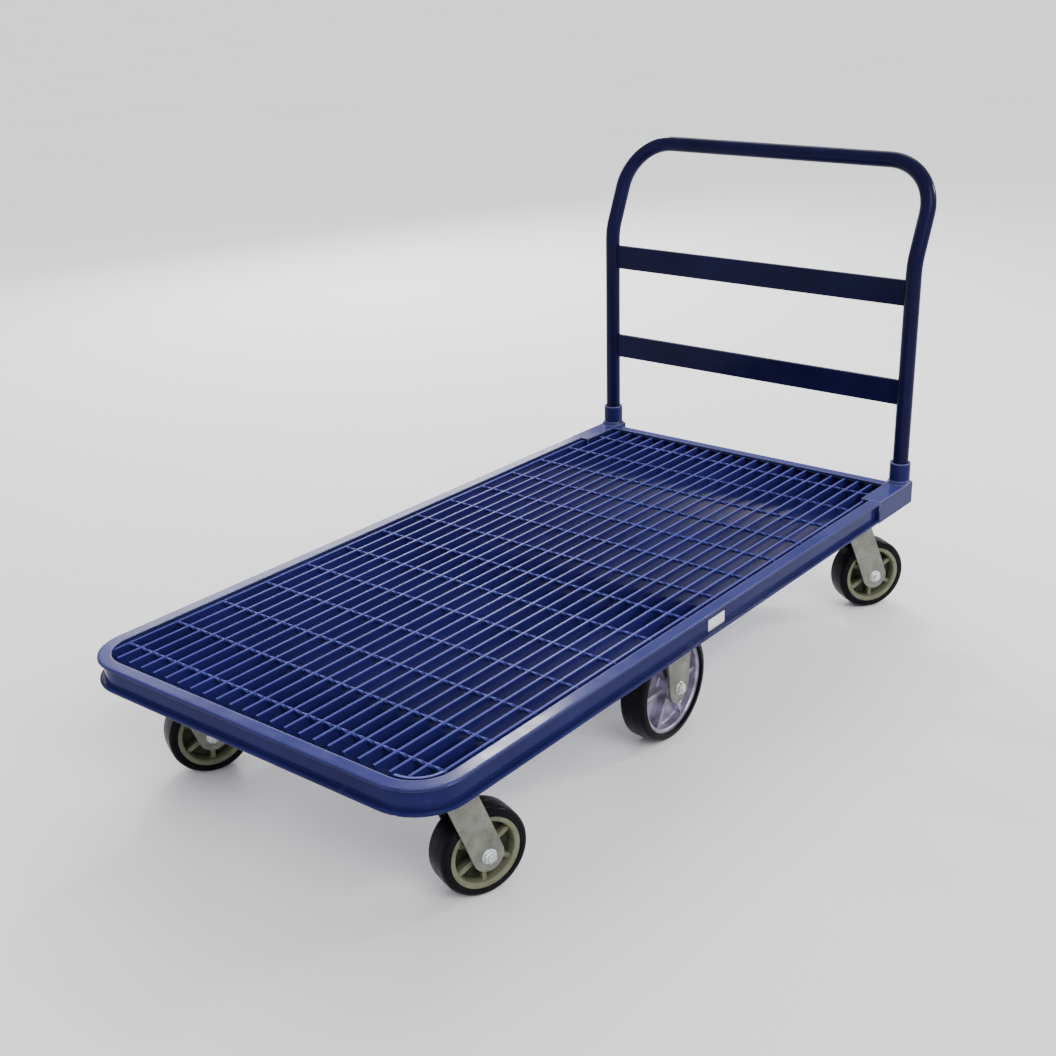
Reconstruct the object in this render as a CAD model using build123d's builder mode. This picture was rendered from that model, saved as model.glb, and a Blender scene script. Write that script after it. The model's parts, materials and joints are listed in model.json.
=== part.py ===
from build123d import *
import math
import os

os.makedirs("parts", exist_ok=True)

# Six-wheel platform truck with a grating deck and a lift-out push handle.
# Millimetres. Floor at z = 0, +y runs from the nose to the handle end, +x is the right side.
# The origin is on the floor, midway between the nose rail and the back of the handle.

# ---- deck frame -------------------------------------------------------------------------
DECK_W = 762.0            # overall width
DECK_L = 1518.0           # overall length
DECK_TOP = 260.0          # top of the edge rail above the floor
RAIL_H = 46.0             # rail height
FLANGE_W = 23.0           # rail flange width
FLANGE_T = 7.0            # rail flange thickness
WEB_T = 6.0               # rail web thickness
WEB_IN = 9.0              # how far the web sits inside the flange edges
EDGE_R = 3.0              # rounding of the outer flange edges
NOSE_R = 87.0             # outer radius of the two nose corners
BLOCK_L = 152.0           # length of each rear corner block
BLOCK_W = 42.0            # width of each rear corner block
BLOCK_WALL = 4.0          # wall of the corner blocks
BLOCK_EDGE = 1.5          # rounding of the corner blocks
REAR_IN = 30.0            # the rear rail sits this far inside the rear end

# ---- grating, cut from stock panel, so it sits off centre ---------------------------------
GRATE_DROP = 4.0          # grating top below the rail top
BAR_H = 25.4              # bearing bar depth
BAR_T = 4.8               # bearing bar thickness
BAR_PITCH = 30.1625       # 1-3/16 in
BAR_N = 23
BAR_X0 = -319.4           # centre of the first bar
ROD_OUT = 30.0            # rods stand out past the first bar
BAR_NOSE_GAP = 38.0       # nose edge of the deck to the bar ends
ROD_PITCH = 101.6         # 4 in
ROD_N = 14
ROD_W = 6.4               # cross rod width and height
ROD_SINK = 0.6            # rod tops below the bar tops
ROD_REAR_GAP = 111.0      # rear end of the deck to the last cross rod

# ---- under the deck ---------------------------------------------------------------------
CROSS_T = 4.0             # upstands and thin walls of the cross-members
CROSS_W = 110.0           # cross-member that carries a pair of swivel casters
CROSS_BASE_T = 8.0
CROSS_BASE_X = 369.0      # half length of its base, which passes under the rails
MID_CROSS_W = 44.0        # the two cross-members over the centre wheels
LABEL_L = 52.0            # blank rating label on the right rail
LABEL_H = 21.0
LABEL_T = 0.6
LABEL_CORNER = 2.0
LABEL_Y = 758.0           # label centre from the nose
LABEL_Z = 232.0

# ---- handle -----------------------------------------------------------------------------
TUBE_D = 31.75            # 1-1/4 in tube
TUBE_WALL = 2.1
UP_X = 359.7              # upright centres
UP_IN = 21.5              # upright centres from the rear end of the deck
SOCKET_D = 42.2
SOCKET_H = 44.0           # socket height above the deck rail
SOCKET_FIT = 0.4          # radial gap around the tube
FOOT_R = 27.0             # weld fillet around the socket foot
FOOT_H = 6.0
SOCKET_EDGE = 1.0         # chamfer round the mouth of the socket
KNEE_Z = 711.5            # where the uprights start to lean back
LEAN_Y = 82.3             # rearward lean of the top tube
TOP_Z = 896.6
BEND_R = 101.6            # every bend of the tube, on its centre line
GRIP_BAR_H = 50.8         # the two flat crossbars
GRIP_BAR_T = 8.0
GRIP_BAR_LOW = 424.5
GRIP_BAR_HIGH = 628.3

# ---- swivel casters ---------------------------------------------------------------------
CAST_X = 304.0            # swivel axes
CAST_IN_NOSE = 138.0      # swivel axes from the nose
CAST_IN_REAR = 115.0      # swivel axes from the rear end of the deck
YAW_FL = 25.0             # how far each caster has turned from trailing straight back
YAW_FR = 20.0
YAW_RL = 28.0
YAW_RR = 33.0
LEAD = 42.0               # swivel axis to axle
WHEEL_R = 73.5
WHEEL_W = 50.0
RIM_R = 59.0
RIM_T = 9.0
HUB_WEB = 5.0
HUB_SET = 1.0             # rim ring inside each face of the tread
MID_HUB_SET = 4.5         # the same at the centre wheels
RIB_SHARE = 0.72          # rib width as a share of the rim width
OVERLAP = 4.0             # how far webs and ribs run into the ring and the boss together
SPOKES = 6
SPOKE_W = 8.0
BOSS_R = 19.0
BOSS_HALF = 27.8
BUSH_R = 10.0             # bearing sleeve pressed into the hub
TREAD_R = 9.0             # rounding of the tread shoulders
PLATE_T = 6.0
PLATE_X = 114.3
PLATE_Y = 101.6
PLATE_CORNER = 9.0
BOLT_DX = 43.0
BOLT_DY = 36.5
BOLT_D = 10.0
HEX_AF = 16.0             # bolt head across flats
HEX_H = 6.4
RACE_T = 6.0              # height of the upper swivel race
RACE_R = 31.0
RACE_BORE = 14.0
CUP_R = 35.0              # lower race, a cup that keeps the balls in
CUP_WALL = 3.0
CUP_FLOOR = 1.5
CUP_LIP = 3.9
BALL_D = 4.2
BALL_N = 18
BALL_CIRCLE = 28.5
BALL_GAP = 0.3
CROWN_T = 6.0
CROWN_R = 5.0             # bend between the crown and a leg
KING_D = 13.0             # kingpin
KING_NUT_AF = 21.0
KING_NUT_H = 7.0
LEG_IN = 28.6             # inner face of a fork leg, from the wheel centre plane
LEG_T = 4.6
LEG_HALF = 26.0           # half width of a fork leg
AXLE_D = 12.7
AXLE_HEX_AF = 19.0
AXLE_HEX_H = 7.5          # bolt head with its washer
WASHER_T = 2.0
WASHER_R = 12.5
THREAD_OUT = 3.0          # thread past the nut
NUT_GAP = 0.5             # play between the kingpin nut and the crown

# ---- centre wheels ----------------------------------------------------------------------
MID_X = 287.0
MID_FROM_NOSE = 725.0
MID_R = 101.6
MID_W = 50.0
MID_RIM_R = 87.0
MID_RIM_T = 8.0
MID_WEB = 6.0
MID_SPOKE_W = 9.0
MID_BOSS_R = 24.0
MID_BOSS_HALF = 28.2
MID_LEG_IN = 29.0
MID_LEG_T = 5.0
MID_LEG_W = 70.0
MID_LEG_END_R = 28.0      # rounded end of a leg, about the axle
MID_LEG_TAPER = 60.0      # the legs narrow from this far above the axle
MID_PLATE_T = 5.5
MID_PLATE_X = 118.0
MID_PLATE_Y = 116.0
MID_BOLT_DX = 48.0
MID_BOLT_DY = 45.0

# ---- derived places ---------------------------------------------------------------------
X_OUT = DECK_W / 2
X_BLOCK = X_OUT - BLOCK_W
Y_NOSE = -(DECK_L + LEAN_Y + TUBE_D / 2 - UP_IN) / 2
Y_REAR = Y_NOSE + DECK_L
Y_BLOCK = Y_REAR - BLOCK_L
Y_RAIL1 = Y_REAR - REAR_IN
Y_RAIL0 = Y_RAIL1 - FLANGE_W
UP_Y = Y_REAR - UP_IN
CAST_Y_NOSE = Y_NOSE + CAST_IN_NOSE
CAST_Y_REAR = Y_REAR - CAST_IN_REAR
MID_Y = Y_NOSE + MID_FROM_NOSE
Z_BOT = DECK_TOP - RAIL_H
GRATE_TOP = DECK_TOP - GRATE_DROP
GRATE_BOT = GRATE_TOP - BAR_H
Z_MOUNT = Z_BOT - CROSS_BASE_T
Z_PLATE = Z_MOUNT - PLATE_T
Z_CUP = Z_PLATE - RACE_T - BALL_GAP - BALL_D
Z_CROWN = Z_CUP - CUP_FLOOR
FIT = 0.05                # radial slack of bolts and pins in their holes
GAP = 0.3                 # gap between neighbouring pieces that do not touch
END_IN = 0.2              # bolt ends stop this far below the surface above


def save(piece, label):
    """Label a finished piece and write it as one STEP file."""
    piece.part.label = label
    export_step(piece.part, "parts/" + label + ".step")


def plan(x, y, z):
    """Horizontal plane with its origin at x, y, z."""
    return Plane(origin=(x, y, z), x_dir=(1, 0, 0), z_dir=(0, 0, 1))


# =========================================================================================
# Deck frame
# =========================================================================================

def nose_outline(z, inset):
    """Deck outline shrunk by inset: square at the corner blocks, two rounded nose corners."""
    x = X_OUT - inset
    y = Y_NOSE + inset
    with BuildSketch(Plane.XY.offset(z)) as outline:
        with BuildLine():
            Polyline((-x, y), (x, y), (x, Y_BLOCK), (-x, Y_BLOCK), close=True)
        make_face()
        fillet(outline.vertices().group_by(Axis.Y)[0], NOSE_R - inset)
    return outline.sketch


def on_outer_line(edge):
    """True for an edge that follows the outermost line of the bent rail."""
    mid = edge.center()
    if edge.geom_type == GeomType.CIRCLE:
        return abs(edge.radius - NOSE_R) < 0.1
    return abs(mid.X) > X_OUT - 1 or mid.Y < Y_NOSE + 1


with BuildPart() as frame_channel:
    extrude(nose_outline(Z_BOT, 0), amount=RAIL_H)
    extrude(nose_outline(Z_BOT, FLANGE_W), amount=RAIL_H, mode=Mode.SUBTRACT)
    with BuildSketch(Plane.XY.offset(Z_BOT + FLANGE_T)):
        add(nose_outline(0, -1))
        add(nose_outline(0, WEB_IN), mode=Mode.SUBTRACT)
        add(nose_outline(0, WEB_IN + WEB_T))
    extrude(amount=RAIL_H - 2 * FLANGE_T, mode=Mode.SUBTRACT)
    for level in (Z_BOT, Z_BOT + FLANGE_T, DECK_TOP - FLANGE_T, DECK_TOP):
        rim = frame_channel.edges().filter_by_position(Axis.Z, level - 0.01, level + 0.01)
        fillet(rim.filter_by(on_outer_line), EDGE_R)
save(frame_channel, "frame_channel")

with BuildPart() as rail_rear:
    with BuildSketch(Plane.YZ.offset(-X_BLOCK)):
        for level in (Z_BOT + FLANGE_T / 2, DECK_TOP - FLANGE_T / 2):
            with Locations(((Y_RAIL0 + Y_RAIL1) / 2, level)):
                Rectangle(FLANGE_W, FLANGE_T)
        with Locations((Y_RAIL1 - WEB_IN - WEB_T / 2, Z_BOT + RAIL_H / 2)):
            Rectangle(WEB_T, RAIL_H)
    extrude(amount=2 * X_BLOCK)
    long_edges = rail_rear.edges().filter_by(Axis.X)
    fillet(long_edges.group_by(Axis.Y)[-1], EDGE_R)
save(rail_rear, "rail_rear")


def corner_block(side):
    """Closed box at a rear corner, with the hole that the handle tube goes down."""
    x = side * (X_OUT - BLOCK_W / 2)
    y = (Y_BLOCK + Y_REAR) / 2
    bore = TUBE_D / 2 + SOCKET_FIT
    with BuildPart() as block:
        with BuildSketch(plan(x, y, Z_BOT)):
            Rectangle(BLOCK_W, BLOCK_L)
        extrude(amount=RAIL_H)
        upright = block.edges().filter_by(Axis.Z)
        chamfer(upright.group_by(Axis.Y)[-1], BLOCK_EDGE)
        fillet(block.faces().sort_by(Axis.Z)[-1].edges(), BLOCK_EDGE)
        with BuildSketch(plan(x, y, Z_BOT + BLOCK_WALL)):
            Rectangle(BLOCK_W - 2 * BLOCK_WALL, BLOCK_L - 2 * BLOCK_WALL)
        extrude(amount=RAIL_H - 2 * BLOCK_WALL, mode=Mode.SUBTRACT)
        with BuildSketch(plan(side * UP_X, UP_Y, Z_BOT + BLOCK_WALL)):
            Circle(bore)
        extrude(amount=RAIL_H, mode=Mode.SUBTRACT)
    return block


def handle_socket(side):
    """Pipe socket on a corner block, with its weld fillet cut flush with the block."""
    with BuildPart() as socket:
        with BuildSketch(plan(side * UP_X, UP_Y, DECK_TOP)):
            Circle(SOCKET_D / 2)
        extrude(amount=SOCKET_H)
        upright = Plane(origin=(side * UP_X, UP_Y, DECK_TOP), x_dir=(1, 0, 0), z_dir=(0, -1, 0))
        with BuildSketch(upright):
            with BuildLine():
                Polyline((0, 0), (FOOT_R, 0), (SOCKET_D / 2, FOOT_H), (0, FOOT_H), close=True)
            make_face()
        revolve(axis=Axis((side * UP_X, UP_Y, 0), (0, 0, 1)))
        with BuildSketch(plan(side * (X_OUT - BLOCK_W / 2), (Y_BLOCK + Y_REAR) / 2, DECK_TOP)):
            Rectangle(BLOCK_W, BLOCK_L)
        extrude(amount=SOCKET_H, mode=Mode.INTERSECT)
        with BuildSketch(plan(side * UP_X, UP_Y, DECK_TOP)):
            Circle(TUBE_D / 2 + SOCKET_FIT)
        extrude(amount=SOCKET_H, mode=Mode.SUBTRACT)
        mouth = socket.edges().group_by(Axis.Z)[-1]
        chamfer(mouth.filter_by(GeomType.CIRCLE), SOCKET_EDGE)
    return socket


for side, name in ((-1, "left"), (1, "right")):
    save(corner_block(side), "corner_block_" + name)
    save(handle_socket(side), "handle_socket_" + name)

# =========================================================================================
# Grating
# =========================================================================================

BEND_X = X_OUT - NOSE_R
LAST_BAR_X = BAR_X0 + (BAR_N - 1) * BAR_PITCH + BAR_T / 2
BAND_R = LAST_BAR_X - BEND_X
BEND_Y = Y_NOSE + NOSE_R
FIRST_ROD_Y = Y_REAR - ROD_REAR_GAP - (ROD_N - 1) * ROD_PITCH
BAND_END_Y = FIRST_ROD_Y - ROD_W / 2 - GAP


def bar_start(x):
    """Nose end of a bearing bar, kept behind the bent corner band on the right."""
    reach = x + BAR_T / 2 - BEND_X
    if reach < 0:
        return Y_NOSE + BAR_NOSE_GAP
    inside = BAND_R - BAR_T - GAP
    if reach >= inside:
        return BEND_Y + GAP
    return max(Y_NOSE + BAR_NOSE_GAP, BEND_Y - math.sqrt(inside ** 2 - reach ** 2))


with BuildPart() as deck_grating:
    for i in range(BAR_N):
        x = BAR_X0 + i * BAR_PITCH
        end = (Y_RAIL0 if abs(x) < X_BLOCK - BAR_T else Y_BLOCK) - GAP
        start = bar_start(x)
        with BuildSketch(plan(x, (start + end) / 2, GRATE_BOT)):
            Rectangle(BAR_T, end - start)
        extrude(amount=BAR_H)
    for i in range(ROD_N):
        y = FIRST_ROD_Y + i * ROD_PITCH
        x0 = BAR_X0 - ROD_OUT
        x1 = LAST_BAR_X
        if y > Y_BLOCK - ROD_W:
            x0 = BLOCK_WALL - X_BLOCK
            x1 = X_BLOCK - BLOCK_WALL
        with BuildSketch(plan((x0 + x1) / 2, y, GRATE_TOP - ROD_W - ROD_SINK)):
            Rectangle(x1 - x0, ROD_W)
        extrude(amount=ROD_W)
save(deck_grating, "deck_grating")


with BuildPart() as grating_band_right:
    with BuildSketch(plan(BEND_X, BEND_Y, GRATE_BOT)):
        Circle(BAND_R)
        Circle(BAND_R - BAR_T, mode=Mode.SUBTRACT)
        with Locations((BAND_R, BAND_END_Y - BEND_Y - BAND_R)):
            Rectangle(2 * BAND_R, 2 * BAND_R, mode=Mode.INTERSECT)
    extrude(amount=BAR_H)
save(grating_band_right, "grating_band_right")

# =========================================================================================
# Cross-members, label
# =========================================================================================

def caster_cross_member(y, half_inner):
    """Base plate under the rails with two upstands that the grating rests on."""
    with BuildPart() as member:
        with BuildSketch(plan(0, y, Z_MOUNT)):
            Rectangle(2 * CROSS_BASE_X, CROSS_W)
        extrude(amount=CROSS_BASE_T)
        with BuildSketch(plan(0, y, Z_BOT)):
            with GridLocations(0, CROSS_W - CROSS_T, 1, 2):
                Rectangle(2 * half_inner, CROSS_T)
        extrude(amount=GRATE_BOT - Z_BOT)
        with BuildSketch(plan(0, y, Z_MOUNT)):
            with GridLocations(2 * CAST_X, 0, 2, 1):
                with GridLocations(2 * BOLT_DX, 2 * BOLT_DY, 2, 2):
                    Circle(BOLT_D / 2 + FIT)
                Circle(KING_D / 2 + FIT)
        extrude(amount=CROSS_BASE_T, mode=Mode.SUBTRACT)
    return member


def mid_cross_member(y):
    """Shallow channel, open upwards, between the two side rails."""
    with BuildPart() as member:
        with BuildSketch(plan(0, y, Z_BOT)):
            Rectangle(2 * (X_OUT - FLANGE_W), MID_CROSS_W)
        extrude(amount=GRATE_BOT - Z_BOT)
        with BuildSketch(plan(0, y, Z_BOT + CROSS_T)):
            Rectangle(2 * X_OUT, MID_CROSS_W - 2 * CROSS_T)
        extrude(amount=GRATE_BOT, mode=Mode.SUBTRACT)
        with BuildSketch(plan(0, y, Z_BOT)):
            with GridLocations(2 * MID_X, 0, 2, 1):
                with GridLocations(2 * MID_BOLT_DX, 0, 2, 1):
                    Circle(BOLT_D / 2 + FIT)
        extrude(amount=CROSS_T, mode=Mode.SUBTRACT)
    return member


save(caster_cross_member(CAST_Y_NOSE, X_OUT - FLANGE_W - GAP), "cross_member_nose")
save(caster_cross_member(CAST_Y_REAR, X_BLOCK - GAP), "cross_member_rear")
save(mid_cross_member(MID_Y - MID_BOLT_DY), "cross_member_mid_1")
save(mid_cross_member(MID_Y + MID_BOLT_DY), "cross_member_mid_2")

with BuildPart() as rail_label:
    on_web = Plane(origin=(X_OUT - WEB_IN, Y_NOSE + LABEL_Y, LABEL_Z), x_dir=(0, 1, 0), z_dir=(1, 0, 0))
    with BuildSketch(on_web):
        RectangleRounded(LABEL_L, LABEL_H, LABEL_CORNER)
    extrude(amount=LABEL_T)
save(rail_label, "rail_label")

# =========================================================================================
# Handle
# =========================================================================================

tube_bottom = Z_BOT + BLOCK_WALL + SOCKET_FIT
with BuildPart() as handle_tube:
    with BuildLine() as route:
        FilletPolyline(
            (-UP_X, UP_Y, tube_bottom),
            (-UP_X, UP_Y, KNEE_Z),
            (-UP_X, UP_Y + LEAN_Y, TOP_Z),
            (UP_X, UP_Y + LEAN_Y, TOP_Z),
            (UP_X, UP_Y, KNEE_Z),
            (UP_X, UP_Y, tube_bottom),
            radius=BEND_R,
        )
    with BuildSketch(plan(-UP_X, UP_Y, tube_bottom)):
        Circle(TUBE_D / 2)
        Circle(TUBE_D / 2 - TUBE_WALL, mode=Mode.SUBTRACT)
    sweep(path=route.wires()[0])
save(handle_tube, "handle_tube")


def handle_crossbar(z):
    """Flat bar between the uprights, coped to the tube at both ends."""
    with BuildPart() as bar:
        with BuildSketch(plan(0, UP_Y, z)):
            Rectangle(2 * UP_X, GRIP_BAR_T)
            with GridLocations(2 * UP_X, 0, 2, 1):
                Circle(TUBE_D / 2, mode=Mode.SUBTRACT)
        extrude(amount=GRIP_BAR_H)
    return bar


save(handle_crossbar(GRIP_BAR_LOW), "handle_crossbar_lower")
save(handle_crossbar(GRIP_BAR_HIGH), "handle_crossbar_upper")

# =========================================================================================
# Wheels, shared by the swivel casters and the centre wheels
# =========================================================================================

def wheel_axes(yaw):
    """Unit vectors of a wheel turned by yaw: along its axle, and the way it trails."""
    turn = math.radians(yaw)
    along = Vector(math.cos(turn), -math.sin(turn), 0)
    trail = Vector(math.sin(turn), math.cos(turn), 0)
    return along, trail


def radial_plane(centre, along):
    """Plane through the axle: sketch x runs along the axle, sketch y is the radius."""
    return Plane(origin=centre, x_dir=along, z_dir=along.cross(Vector(0, 0, 1)))


def side_plane(centre, along, shift):
    """Plane across the axle, shifted along it: sketch x trails, sketch y is up."""
    return Plane(origin=centre + along * shift, x_dir=Vector(0, 0, 1).cross(along), z_dir=along)


def tyre(centre, along, radius, width, rim, shoulder):
    """Solid rubber tread with rounded shoulders."""
    with BuildPart() as piece:
        with BuildSketch(radial_plane(centre, along)) as profile:
            with Locations((0, (radius + rim) / 2)):
                Rectangle(width, radius - rim)
            fillet(profile.vertices().group_by(Axis.Y)[-1], shoulder)
        revolve(axis=Axis(centre, along))
    return piece


def hub(centre, along, width, rim, rim_t, web, boss, boss_half, bore, spoke_w, first_spoke):
    """Cast hub: rim ring, thin web, boss and ribs, with the bore for its bearing sleeve."""
    ring_in = rim - rim_t
    with BuildPart() as piece:
        with BuildSketch(radial_plane(centre, along)):
            with Locations((0, (rim + ring_in) / 2)):
                Rectangle(width, rim_t)
            with Locations((0, (ring_in + boss) / 2)):
                Rectangle(web, ring_in - boss + OVERLAP)
            with Locations((0, (boss + bore) / 2)):
                Rectangle(2 * boss_half, boss - bore)
        revolve(axis=Axis(centre, along))
        with BuildSketch(side_plane(centre, along, -width * RIB_SHARE / 2)):
            for i in range(SPOKES):
                angle = first_spoke + i * 360 / SPOKES
                with PolarLocations((ring_in + boss) / 2, 1, start_angle=angle):
                    Rectangle(ring_in - boss + OVERLAP, spoke_w)
        extrude(amount=width * RIB_SHARE)
    return piece


def bushing(centre, along, outer, half):
    """Bearing sleeve between the hub and the axle."""
    with BuildPart() as piece:
        with BuildSketch(side_plane(centre, along, -half)):
            Circle(outer)
            Circle(AXLE_D / 2 + FIT, mode=Mode.SUBTRACT)
        extrude(amount=2 * half)
    return piece


def axle(centre, along, reach):
    """Axle bolt across both legs: hex head, washers and nut outside them."""
    with BuildPart() as piece:
        with BuildSketch(side_plane(centre, along, -reach - AXLE_HEX_H)):
            Circle(AXLE_D / 2)
        extrude(amount=2 * (reach + AXLE_HEX_H) + THREAD_OUT)
        for start in (-reach - WASHER_T, reach):
            with BuildSketch(side_plane(centre, along, start)):
                Circle(WASHER_R)
            extrude(amount=WASHER_T)
        for start in (-reach - AXLE_HEX_H, reach + WASHER_T):
            with BuildSketch(side_plane(centre, along, start)):
                RegularPolygon(AXLE_HEX_AF / 2, 6, major_radius=False)
            extrude(amount=AXLE_HEX_H - WASHER_T)
    return piece


# =========================================================================================
# Swivel casters
# =========================================================================================

def caster_plate(x, y):
    """Top plate with four bolt holes and the upper race."""
    with BuildPart() as piece:
        with BuildSketch(plan(x, y, Z_PLATE)):
            RectangleRounded(PLATE_X, PLATE_Y, PLATE_CORNER)
        extrude(amount=PLATE_T)
        with BuildSketch(plan(x, y, Z_PLATE)):
            Circle(RACE_R)
            Circle(RACE_BORE, mode=Mode.SUBTRACT)
        extrude(amount=-RACE_T)
        with BuildSketch(plan(x, y, Z_PLATE)):
            with GridLocations(2 * BOLT_DX, 2 * BOLT_DY, 2, 2):
                Circle(BOLT_D / 2 + FIT)
            Circle(KING_D / 2 + FIT)
        extrude(amount=PLATE_T, mode=Mode.SUBTRACT)
    return piece


def caster_balls(x, y):
    """Ring of steel balls in the cup of the fork."""
    with BuildPart() as piece:
        with Locations(plan(x, y, Z_CUP + BALL_D / 2)):
            with PolarLocations(BALL_CIRCLE, BALL_N):
                Sphere(BALL_D / 2)
    return piece


def caster_fork(x, y, yaw):
    """Crown with the ball cup on top and two trailing legs."""
    along, trail = wheel_axes(yaw)
    pivot = Vector(x, y, 0)
    axle_at = pivot + trail * LEAD + Vector(0, 0, WHEEL_R)
    span = LEG_IN + LEG_T
    top = Z_CROWN
    with BuildPart() as piece:
        with BuildSketch(side_plane(pivot, along, -span)):
            with Locations((LEAD, WHEEL_R)):
                Circle(LEG_HALF)
            with Locations((0, top - CROWN_T / 2)):
                Rectangle(2 * LEG_HALF, CROWN_T)
            make_hull()
        extrude(amount=2 * span)
        roof = piece.faces().sort_by(Axis.Z)[-1]
        bends = roof.edges().filter_by(lambda e: abs(e.tangent_at(0.5).dot(along)) < 0.1)
        fillet(bends, CROWN_R)
        with BuildSketch(side_plane(pivot, along, -LEG_IN)):
            with Locations((LEAD / 2, (top - CROWN_T) / 2)):
                Rectangle(4 * LEG_HALF + LEAD, top - CROWN_T)
        extrude(amount=2 * LEG_IN, mode=Mode.SUBTRACT)
        with BuildSketch(side_plane(axle_at, along, -span)):
            Circle(AXLE_D / 2 + FIT)
        extrude(amount=2 * span, mode=Mode.SUBTRACT)
        with BuildSketch(plan(x, y, top)):
            Circle(CUP_R)
        extrude(amount=CUP_FLOOR)
        with BuildSketch(plan(x, y, top + CUP_FLOOR)):
            Circle(CUP_R)
            Circle(CUP_R - CUP_WALL, mode=Mode.SUBTRACT)
        extrude(amount=CUP_LIP)
        with BuildSketch(plan(x, y, top - CROWN_T)):
            Circle(KING_D / 2 + FIT)
        extrude(amount=CROWN_T + CUP_FLOOR, mode=Mode.SUBTRACT)
    return piece


CASTERS = {
    "front_left": (-CAST_X, CAST_Y_NOSE, YAW_FL),
    "front_right": (CAST_X, CAST_Y_NOSE, YAW_FR),
    "rear_left": (-CAST_X, CAST_Y_REAR, YAW_RL),
    "rear_right": (CAST_X, CAST_Y_REAR, YAW_RR),
}

for name, (x, y, yaw) in CASTERS.items():
    along, trail = wheel_axes(yaw)
    centre = Vector(x, y, WHEEL_R) + trail * LEAD
    save(caster_plate(x, y), "caster_plate_" + name)
    save(caster_balls(x, y), "caster_balls_" + name)
    save(caster_fork(x, y, yaw), "caster_fork_" + name)
    save(axle(centre, along, LEG_IN + LEG_T), "caster_axle_" + name)
    save(bushing(centre, along, BUSH_R, BOSS_HALF), "caster_bushing_" + name)
    save(
        hub(centre, along, WHEEL_W - 2 * HUB_SET, RIM_R, RIM_T, HUB_WEB, BOSS_R, BOSS_HALF,
            BUSH_R, SPOKE_W, 30),
        "caster_hub_" + name,
    )
    save(tyre(centre, along, WHEEL_R, WHEEL_W, RIM_R, TREAD_R), "caster_tyre_" + name)

with BuildPart() as caster_bolts:
    for x, y, yaw in CASTERS.values():
        with BuildSketch(plan(x, y, Z_PLATE - HEX_H)):
            with GridLocations(2 * BOLT_DX, 2 * BOLT_DY, 2, 2):
                RegularPolygon(HEX_AF / 2, 6, major_radius=False)
        extrude(amount=HEX_H)
        with BuildSketch(plan(x, y, Z_PLATE)):
            with GridLocations(2 * BOLT_DX, 2 * BOLT_DY, 2, 2):
                Circle(BOLT_D / 2)
        extrude(amount=PLATE_T + CROSS_BASE_T - END_IN)
save(caster_bolts, "caster_bolts")

with BuildPart() as kingpins:
    for x, y, yaw in CASTERS.values():
        nut_top = Z_CROWN - CROWN_T - NUT_GAP
        with BuildSketch(plan(x, y, nut_top - KING_NUT_H)):
            RegularPolygon(KING_NUT_AF / 2, 6, major_radius=False)
        extrude(amount=KING_NUT_H)
        with BuildSketch(plan(x, y, nut_top)):
            Circle(KING_D / 2)
        extrude(amount=Z_BOT - END_IN - nut_top)
save(kingpins, "kingpins")

# =========================================================================================
# Centre wheels
# =========================================================================================

def mid_bracket(side):
    """Rigid bracket: flat plate bolted up under the deck and two straight legs."""
    centre = Vector(side * MID_X, MID_Y, MID_R)
    along = Vector(1, 0, 0)
    span = MID_LEG_IN + MID_LEG_T
    with BuildPart() as piece:
        with BuildSketch(plan(centre.X, centre.Y, Z_BOT - MID_PLATE_T)):
            RectangleRounded(MID_PLATE_X, MID_PLATE_Y, PLATE_CORNER)
            with GridLocations(2 * MID_BOLT_DX, 2 * MID_BOLT_DY, 2, 2):
                Circle(BOLT_D / 2 + FIT, mode=Mode.SUBTRACT)
        extrude(amount=MID_PLATE_T)
        for start in (-span, MID_LEG_IN):
            with BuildSketch(side_plane(centre, along, start)):
                Circle(MID_LEG_END_R)
                with Locations((0, (Z_BOT - MID_R + MID_LEG_TAPER) / 2)):
                    Rectangle(MID_LEG_W, Z_BOT - MID_R - MID_LEG_TAPER)
                make_hull()
                Circle(AXLE_D / 2 + FIT, mode=Mode.SUBTRACT)
            extrude(amount=MID_LEG_T)
    return piece


for side, name in ((-1, "left"), (1, "right")):
    centre = Vector(side * MID_X, MID_Y, MID_R)
    along = Vector(1, 0, 0)
    save(mid_bracket(side), "mid_bracket_" + name)
    save(axle(centre, along, MID_LEG_IN + MID_LEG_T), "mid_axle_" + name)
    save(bushing(centre, along, BUSH_R, MID_BOSS_HALF), "mid_bushing_" + name)
    save(
        hub(centre, along, MID_W - 2 * MID_HUB_SET, MID_RIM_R, MID_RIM_T, MID_WEB, MID_BOSS_R, MID_BOSS_HALF,
            BUSH_R, MID_SPOKE_W, 0),
        "mid_hub_" + name,
    )
    save(tyre(centre, along, MID_R, MID_W, MID_RIM_R, TREAD_R), "mid_tyre_" + name)

with BuildPart() as mid_bolts:
    for side in (-1, 1):
        for level, height in ((Z_BOT - MID_PLATE_T - HEX_H, HEX_H), (Z_BOT + CROSS_T, HEX_H)):
            with BuildSketch(plan(side * MID_X, MID_Y, level)):
                with GridLocations(2 * MID_BOLT_DX, 2 * MID_BOLT_DY, 2, 2):
                    RegularPolygon(HEX_AF / 2, 6, major_radius=False)
            extrude(amount=height)
        with BuildSketch(plan(side * MID_X, MID_Y, Z_BOT - MID_PLATE_T)):
            with GridLocations(2 * MID_BOLT_DX, 2 * MID_BOLT_DY, 2, 2):
                Circle(BOLT_D / 2)
        extrude(amount=MID_PLATE_T + CROSS_T)
save(mid_bolts, "mid_bolts")
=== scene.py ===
"""Looks of the six-wheel platform truck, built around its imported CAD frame. Metres throughout."""

import json
import math
import random

import bmesh
import bpy
from mathutils import Matrix, Vector


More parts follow.
